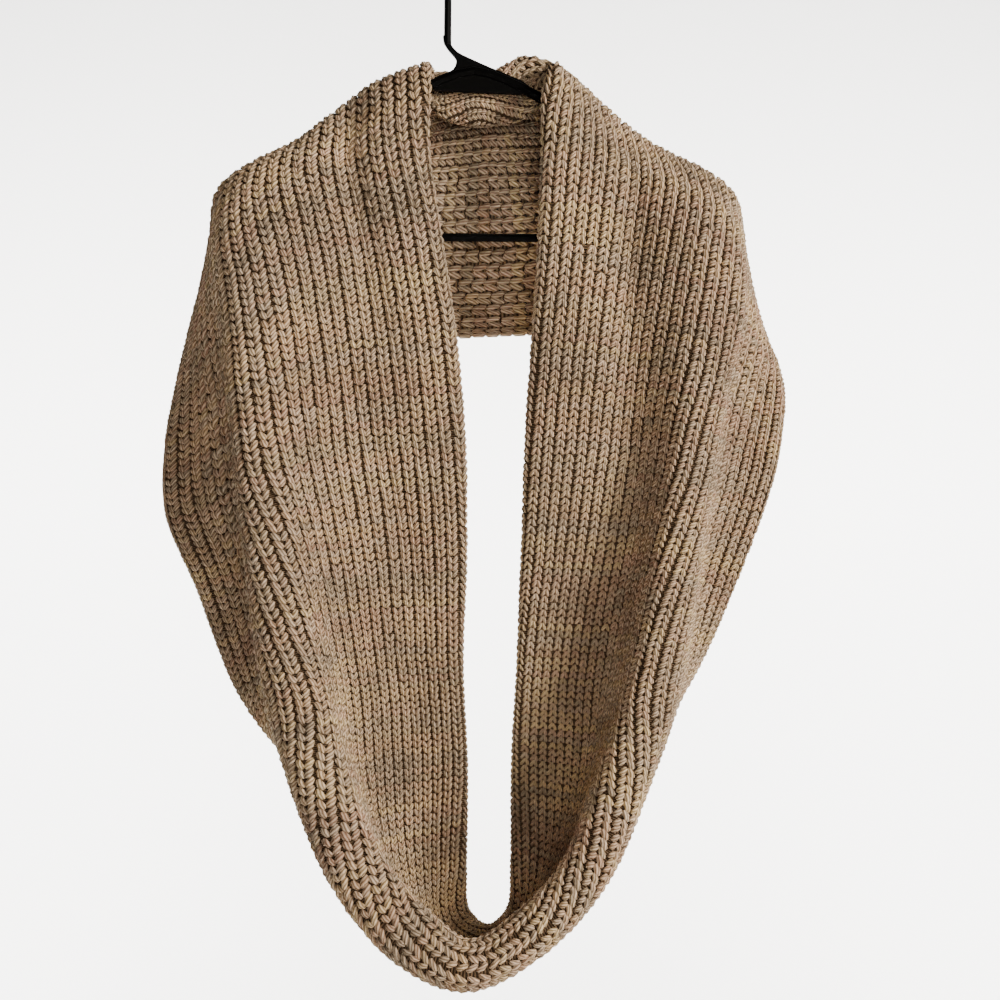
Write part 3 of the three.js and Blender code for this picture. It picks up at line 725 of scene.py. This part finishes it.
@dataclass
class Scarf:
    """The knitted band: ground sheets and stitches, a set for each stretch."""

    band: KnitBand
    tones: YarnTones = YarnTones()
    tension: Tension = Tension()
    flat_width: float = 0.31
    usual_pitch: float = 10.5 * MM
    most_opened: float = 2
    opening_power: float = 0.4
    most_taken: float = 4.0
    easing: int = 3
    width_power: float = 1.12
    height_power: float = 0.45
    edge_column: float = 0.25
    edge_share: float = 0.5
    edge_width: float = 7.5 * MM
    edge_plump: float = 0.8
    edge_drop: float = 0.8 * MM
    ground_crest: float = 2.2 * MM
    ground_groove: float = 1.1 * MM
    streaks: float = 400
    marl: Material = field(init=False)
    ground: Material = field(init=False)
    noise: Unevenness = field(init=False)

    def __post_init__(self) -> None:
        """Makes the yarn's materials and the noise."""
        self.marl = MarlYarn("wool_blend_marl_yarn").material()
        self.ground = KnitGround("knit_ground_yarn_painted_shade").material()
        self.noise = Unevenness(SEED)

    def ground_sheet(self, name: str, first: int, last: int) -> Object:
        """The closed corrugated sheet under the stitches, between two courses.

        Args:
            name: the object's name.
            first: the first course.
            last: the last course, above the first.

        Returns:
            The sheet.
        """
        rows, columns = last - first + 1, self.band.ribs * 2 + 1
        ribs, courses = np.meshgrid(np.arange(columns) / 2, np.arange(first, last + 1))
        points, normals, _ = self.band.at(ribs, courses.astype(float))
        on_crest = np.arange(columns) % 2 == 1
        front = np.where(on_crest, self.ground_crest, self.ground_groove)[None, :, None]
        back = np.where(on_crest, self.ground_groove, self.ground_crest)[None, :, None]
        top, under = points + normals * front, points - normals * back
        count = rows * columns
        index = np.arange(count).reshape(rows, columns)
        a, b, c, d = index[:-1, :-1], index[1:, :-1], index[1:, 1:], index[:-1, 1:]
        faces = [np.stack([a, b, c, d], -1), np.stack([a, d, c, b], -1) + count]
        sides = ((index[:, 0], True), (index[:, -1], False), (index[0], False), (index[-1], True))
        for edge, turned in sides:
            faces.append(self._strip(edge, edge + count, turned))
        quads = np.concatenate([face.reshape(-1, 4) for face in faces])
        strand = np.stack([courses, ribs, np.zeros_like(ribs)], -1).reshape(-1, 3)
        shape = Shape(
            np.concatenate([top.reshape(-1, 3), under.reshape(-1, 3)]),
            quads, np.empty((0, 3), int), {"strand": np.concatenate([strand, strand])},
        )
        return shape.to_object(name, self.ground)

    @staticmethod
    def _strip(upper: Array, lower: Array, turned: bool) -> Array:
        """Quads between two rows of vertices."""
        quads = np.stack([upper[:-1], upper[1:], lower[1:], lower[:-1]], -1)
        return quads[:, ::-1] if turned else quads

    def _marl_of(self, ribs: Array, courses: Array) -> Array:
        """How warm, how tinted and how light the yarn is at each stitch.

        The yarn runs to and fro along the courses, so its tone changes every dozen stitches or so.

        Args:
            ribs: the column of each stitch.
            courses: its course.

        Returns:
            The three factors, shaped (stitches, 3).
        """
        tones = self.tones
        yarn = courses * self.band.ribs * 2 + ribs * 2
        run, drift = (
            self.noise.at(yarn / legs, np.full_like(yarn, place))
            for legs, place in (tones.run, tones.drift)
        )
        patch, fleck = (
            self.noise.at(ribs / wide + place, courses / high)
            for wide, high, place in (tones.patch, tones.fleck)
        )
        middle, by_drift, by_patch = tones.warm
        warm = middle + by_drift * drift + by_patch * patch
        middle, by_run, by_fleck = tones.tint
        tint = middle + by_run * run + by_fleck * fleck
        middle, by_both, by_fleck, by_patch = tones.light
        light = middle + by_both * run * drift + by_fleck * fleck + by_patch * patch
        return np.clip(np.stack([warm, tint, light], -1), 0, 1)

    def stitches(
        self, name: str, face: Face, columns: Array, first: int, last: int, grain: Grain
    ) -> Object:
        """All the stitches of some columns on one face, between two courses.

        Args:
            name: the object's name.
            face: the face that they lie on.
            columns: a row for each column, its middle and its width, in ribs.
            first: the first course.
            last: the course after the last.
            grain: the form of one leg.

        Returns:
            The stitches as one object.
        """
        number, course, taken, hand = self._legs(columns[:, 0], first, last, grain)
        column, share = columns[number].T
        draw = np.random.default_rng([SEED, first, int(columns[0, 0] * 2), face.value + 1])
        jitter = draw.normal(0, 1, (len(column), 4))
        tension = self.tension
        size = 1 + tension.size * jitter[:, 0]
        swaying = self.noise.at(column * tension.sway_per_rib, course / tension.sway_courses)
        sway = tension.sway * swaying + tension.sway_each * jitter[:, 1]
        shifted = column * tension.slip_per_rib + tension.slip_shift
        slipping = self.noise.at(shifted, course / tension.slip_courses)
        slip = tension.slip * slipping + tension.slip_each * jitter[:, 2]
        # Where the rib is stretched its legs open further, so that no bare ground shows.
        _, _, around = self.band.at(column, course)
        opened = np.clip(around / self.usual_pitch, 1, self.most_opened) ** self.opening_power
        spread = (hand * size * share * opened)[:, None] * np.array(grain.across)
        ribs = column[:, None] + spread + sway[:, None]
        along = course[:, None] + (np.array(grain.along) + slip[:, None]) * taken[:, None]
        points, normals, pitch = self.band.at(ribs, along)
        loose = pitch / self.usual_pitch
        wide = (loose**self.width_power * share[:, None])[..., None]
        tall = (loose**self.height_power)[..., None]
        height = np.array(grain.height)[None, :, None] * size[:, None, None] * face.value
        spine = points + normals * height * tall
        marl = self._marl_of(column, course)
        marl[:, 2] = np.clip(marl[:, 2] + tension.tone * jitter[:, 3], 0, 1)
        up, wide, tall = normals * face.value, wide[:, 1:-1], tall[:, 1:-1]
        shape = self._grains(spine, up, wide, tall, marl, grain, draw)
        if face is Face.REVERSE:
            shape = shape.joined(self._selvedges(first, last, grain, draw))
        return shape.to_object(name, self.marl)

    def _legs(self, ribs: Array, first: int, last: int, grain: Grain) -> tuple[Array, ...]:
        """Where the legs of some columns stand between two courses, two to a stitch.

        A stitch takes one course, and more where the rib is stretched wide or the band is gathered,
        so that each stitch keeps the proportions of the yarn's own loop.

        Args:
            ribs: the middle of each column.
            first: the first course.
            last: the course after the last.
            grain: the leg, for the proportions of a stitch.

        Returns:
            For each leg the number of its column, its course, the courses that it takes, and
            -1 or 1 for its side.
        """
        total = self.band.courses
        fine = np.arange(total + 1, dtype=float)
        found = []
        for number, rib in enumerate(ribs):
            line = np.full_like(fine, rib)
            _, _, pitch = self.band.at(line, fine)
            after, _, _ = self.band.at(line, fine + 1)
            before, _, _ = self.band.at(line, fine - 1)
            local = np.linalg.norm(after - before, axis=1) / 2
            width = pitch * (self.usual_pitch / pitch) ** grain.evenness
            taken = np.clip(grain.aspect * width / local, 1, self.most_taken)
            even = np.full(2 * self.easing + 1, 1 / (2 * self.easing + 1))
            taken = np.convolve(np.pad(taken[:-1], self.easing, mode="wrap"), even, mode="valid")
            taken = np.append(taken, taken[0])
            done = np.concatenate([[0], np.cumsum((1 / taken[1:] + 1 / taken[:-1]) / 2)])
            done *= round(done[-1]) / done[-1]
            course = np.interp(np.arange(round(done[-1])), done, fine)
            for lap in (0, total):
                inside = (course + lap >= first) & (course + lap < last)
                size = np.interp(course[inside], fine, taken)
                found.append((np.full(inside.sum(), number), course[inside] + lap, size))
        number, course, taken = (np.repeat(np.concatenate(part), 2) for part in zip(*found))
        return number, course, taken, np.tile([-1.0, 1.0], len(number) // 2)

    def _selvedges(self, first: int, last: int, grain: Grain, draw: np.random.Generator) -> Shape:
        """The chains of stitches that turn round both edges of the band.

        Args:
            first: the first course.
            last: the course after the last.
            grain: the form of one leg.
            draw: the source of their unevenness.

        Returns:
            The chains in one shape.
        """
        rims = np.array([0.0, float(self.band.ribs)])
        number, course, taken, hand = self._legs(rims, first, last, grain)
        edge = rims[number]
        size = 1 + self.tension.size * draw.normal(0, 1, len(edge))
        along = course[:, None] + np.array(grain.along) * taken[:, None]
        rim, normals, _ = self.band.at(edge[:, None] + np.zeros_like(along), along)
        inward = np.where(edge == 0, 1.0, -1.0)[:, None]
        inside, _, _ = self.band.at(edge[:, None] + inward * np.ones_like(along), along)
        outward = rim - inside
        outward /= np.linalg.norm(outward, axis=2, keepdims=True)
        lift = (np.array(grain.height)[None] * size[:, None] - self.edge_drop)[..., None]
        spread = ((hand * size)[:, None] * np.array(grain.across) * self.edge_width)[..., None]
        spine = rim + outward * lift + normals * spread
        even = np.ones((len(edge), len(grain.across) - 2, 1))
        marl = self._marl_of(edge, course)
        return self._grains(spine, outward, even * self.edge_plump, even, marl, grain, draw)

    def _grains(
        self, spine: Array, up: Array, wide: Array, tall: Array, marl: Array, grain: Grain,
        draw: np.random.Generator,
    ) -> Shape:
        """Closed grains along short spines: a point at each end and rings between.

        Args:
            spine: the spines' points, shaped (grains, points, 3).
            up: the direction away from the sheet at each of them.
            wide: factors for the width of each ring.
            tall: factors for its height.
            marl: the tone of each grain.
            grain: the radii and number of sides.
            draw: the source of each grain's own streaks.

        Returns:
            The grains in one shape.
        """
        count, stations = spine.shape[:2]
        rings = stations - 2
        forward = spine[:, 2:] - spine[:, :-2]
        forward /= np.linalg.norm(forward, axis=2, keepdims=True)
        side = np.cross(forward, up[:, 1:-1])
        side /= np.linalg.norm(side, axis=2, keepdims=True)
        rise = np.cross(side, forward)
        angle = (math.pi / 2 + np.arange(grain.sides) / grain.sides * math.tau)[None, None, :, None]
        sideways = side * wide * np.array(grain.half_width)[None, :, None]
        upward = rise * tall * np.array(grain.half_height)[None, :, None]
        out = sideways[:, :, None] * np.cos(angle) + upward[:, :, None] * np.sin(angle)
        body = (spine[:, 1:-1, None] + out).reshape(count, -1, 3)
        points = np.concatenate([spine[:, :1], body, spine[:, -1:]], axis=1)
        size = points.shape[1]
        ring = 1 + np.arange(rings * grain.sides).reshape(rings, grain.sides)
        following = np.roll(ring, -1, axis=1)
        quads = np.stack([ring[:-1], following[:-1], following[1:], ring[1:]], -1).reshape(-1, 4)
        caps = np.concatenate([
            np.stack([np.zeros(grain.sides, int), following[0], ring[0]], -1),
            np.stack([np.full(grain.sides, size - 1), ring[-1], following[-1]], -1),
        ])
        shift = (np.arange(count) * size)[:, None, None]
        own = draw.random((count, 1)) * self.streaks
        between = np.repeat(np.arange(1, rings + 1), grain.sides)
        station = np.concatenate([[0], between, [rings + 1]])
        lengthways = station / (rings + 1)
        # Counted both ways from the top, so that the attribute jumps underneath, out of sight.
        turn = np.arange(grain.sides) / grain.sides
        turn = np.where(turn > 0.5, turn - 1, turn)
        round_about = np.concatenate([[0], np.tile(turn, rings), [0]])
        strand = np.stack([
            np.broadcast_to(lengthways, (count, size)),
            np.broadcast_to(round_about, (count, size)),
            np.broadcast_to(own, (count, size)),
        ], -1)
        return Shape(
            points.reshape(-1, 3),
            (quads[None] + shift).reshape(-1, 4),
            (caps[None] + shift).reshape(-1, 3),
            {"strand": strand.reshape(-1, 3), "marl": np.repeat(marl, size, axis=0)},
        )

    def build(self, stretch: Stretch) -> None:
        """Builds and places one stretch of the band, and hides the imported piece.

        Args:
            stretch: the stretch to build.
        """
        band = self.band
        first = band.course_of(stretch.start, stretch.start_past)
        last = band.course_of(stretch.end, stretch.end_past)
        if last < first:
            last += band.courses
        short = stretch.node.removeprefix("scarf_")
        sheet = self.ground_sheet(f"ground_{short}", first, last)
        crests = np.stack([np.arange(band.ribs) + 0.5, np.ones(band.ribs)], -1)
        pieces = [
            self.stitches(f"stitches_{short}_{where}", Face.RIBBED, columns, first, last, LEG)
            for where, columns in zip(("inner", "outer"), np.split(crests, 2))
        ]
        between = np.stack([np.arange(1, band.ribs), np.ones(band.ribs - 1)], -1)
        tip = [[self.edge_column, self.edge_share]]
        hem = [[band.ribs - self.edge_column, self.edge_share]]
        reverse = np.concatenate([tip, between, hem])
        name = f"stitches_{short}_reverse"
        pieces.append(self.stitches(name, Face.REVERSE, reverse, first, last, PLAIN_LEG))
        for piece in (sheet, *pieces):
            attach(piece, "root")
            log.info("%s: %d faces", piece.name, len(piece.data.polygons))
        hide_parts(stretch.node)


# The hanger


@dataclass
class Hanger:
    """The moulded hanger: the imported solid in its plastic."""

    node: str = "hanger"

    def dress(self) -> None:
        """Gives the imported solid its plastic."""
        plastic = MouldedPolystyrene("moulded_polystyrene").material()
        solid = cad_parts[self.node]
        solid.data.materials.clear()
        solid.data.materials.append(plastic)
        log.info("%s: dressed in %s", self.node, plastic.name)


# The surroundings


@dataclass(frozen=True)
class Lamp:
    """A square soft lamp, with its side in metres and its spread in degrees."""

    name: str
    place: Point
    aim: Point
    side: float
    watts: float
    colour: str = "#fff7ed"
    spread: float = 180.0

    def stand(self) -> None:
        """Sets the lamp up and points it at its aim."""
        light = bpy.data.lights.new(self.name, "AREA")
        light.spread = math.radians(self.spread)
        light.size, light.energy = self.side, self.watts
        light.color = linear(self.colour)[:3]
        made = linked(self.name, light)
        made.location = self.place
        turn = (Vector(self.aim) - Vector(self.place)).to_track_quat("-Z", "Y")
        made.rotation_euler = turn.to_euler()


MIDDLE = (0.0, 0.0, -0.45)
# A soft key from the right, a weak fill, a touch at the neck, and two lamps on the backdrop.
LAMPS = (
    Lamp("key", (2.0, -1.35, 0.4), MIDDLE, side=0.7, watts=89),
    Lamp("fill", (0.5, -2.4, -0.1), MIDDLE, side=1.0, watts=17),
    Lamp("neck", (0.03, -2.0, -0.2), (0.01, 0.03, -0.215), side=0.1, watts=0.019,
         colour="#fff9f0", spread=7.0),
    *(Lamp(f"backdrop_{hand}", (hand * 1.3, 0.9, -0.4), (hand * 0.8, 2.6, -0.4), side=1.3,
           watts=185, colour="#ffffff") for hand in (-1, 1)),
)


@dataclass
class Studio:
    """Backdrop, lights and camera."""

    eye: Point = (20.75 * MM, -1.3, -454.84 * MM)
    frame_width: float = 0.83
    floor: float = -1.5
    wall: float = 2.6
    reach: float = 4.0
    cove: float = 1.0
    cove_steps: int = 12
    surround: str = "#f1dfcd"
    surround_strength: float = 0.07
    sensor: float = 36.0

    def backdrop(self) -> None:
        """A pale floor that turns up into a wall."""
        bpy.ops.object.select_all(action="DESELECT")
        bpy.ops.mesh.primitive_plane_add(size=1, location=(0, 0, self.floor))
        paper = bpy.context.object
        paper.name = "backdrop"
        paper.scale = (self.reach * 2, self.reach + self.wall, 1)
        paper.location.y = (self.wall - self.reach) / 2
        bpy.ops.object.transform_apply(location=True, rotation=False, scale=True)
        self._pick_foot(paper)
        rise = {"value": (0, 0, self.reach)}
        bpy.ops.mesh.extrude_edges_move(TRANSFORM_OT_translate=rise)
        bpy.ops.object.mode_set(mode="OBJECT")
        self._pick_foot(paper)
        bpy.ops.mesh.bevel(offset=self.cove, segments=self.cove_steps, affect="EDGES", profile=0.5)
        bpy.ops.object.mode_set(mode="OBJECT")
        bpy.ops.object.shade_smooth()
        paper.data.materials.append(MattPaper("matt_backdrop_paper").material())

    def _pick_foot(self, paper: Object) -> None:
        """Opens edit mode with only the edge at the foot of the wall selected.

        Args:
            paper: the backdrop.
        """
        bpy.ops.object.mode_set(mode="EDIT")
        bpy.ops.mesh.select_mode(type="EDGE")
        bpy.ops.mesh.select_all(action="DESELECT")
        bpy.ops.object.mode_set(mode="OBJECT")
        for edge in paper.data.edges:
            ends = [paper.data.vertices[number].co for number in edge.vertices]
            edge.select = all(end.y > self.wall - MM and end.z < self.floor + MM for end in ends)
        bpy.ops.object.mode_set(mode="EDIT")

    def lights(self) -> None:
        """The lamps, and a dim warm surround."""
        for lamp in LAMPS:
            lamp.stand()
        world = bpy.data.worlds.new("surround")
        bpy.context.scene.world = world
        world.use_nodes = True
        sky = world.node_tree.nodes["Background"].inputs
        sky["Color"].default_value = linear(self.surround)
        sky["Strength"].default_value = self.surround_strength

    def camera(self) -> None:
        """A level camera in front, at the photo's distance and angle."""
        data = bpy.data.cameras.new("camera")
        data.sensor_width = self.sensor
        data.lens = data.sensor_width / 2 / (self.frame_width / 2 / -self.eye[1])
        made = linked("camera", data)
        made.location = self.eye
        made.rotation_euler = (math.pi / 2, 0, 0)
        bpy.context.scene.camera = made


STRETCHES = (
    Stretch("scarf_left_front", "left_rim", 0.0, "left_nape", 0.7, Hold.DRAPED, ("hanger",)),
    Stretch("scarf_back", "left_nape", 0.7, "right_nape", -0.7, Hold.HUNG, ("hanger",)),
    Stretch("scarf_right_front", "right_nape", -0.7, "right_rim", 0.0, Hold.DRAPED, ("hanger",)),
    Stretch("scarf_bottom", "right_rim", 0.0, "left_rim", 0.0, Hold.HUNG, ("hanger",)),
)


def main() -> None:
    """Builds the scarf, the hanger and the studio."""
    studio = Studio()
    studio.camera()
    band = KnitBand()
    log.info("band: %d courses, %.3f m", band.courses, band.length)
    scarf = Scarf(band)
    for stretch in STRETCHES:
        scarf.build(stretch)
    Hanger().dress()
    studio.backdrop()
    studio.lights()


if __name__ == "__main__":
    main()
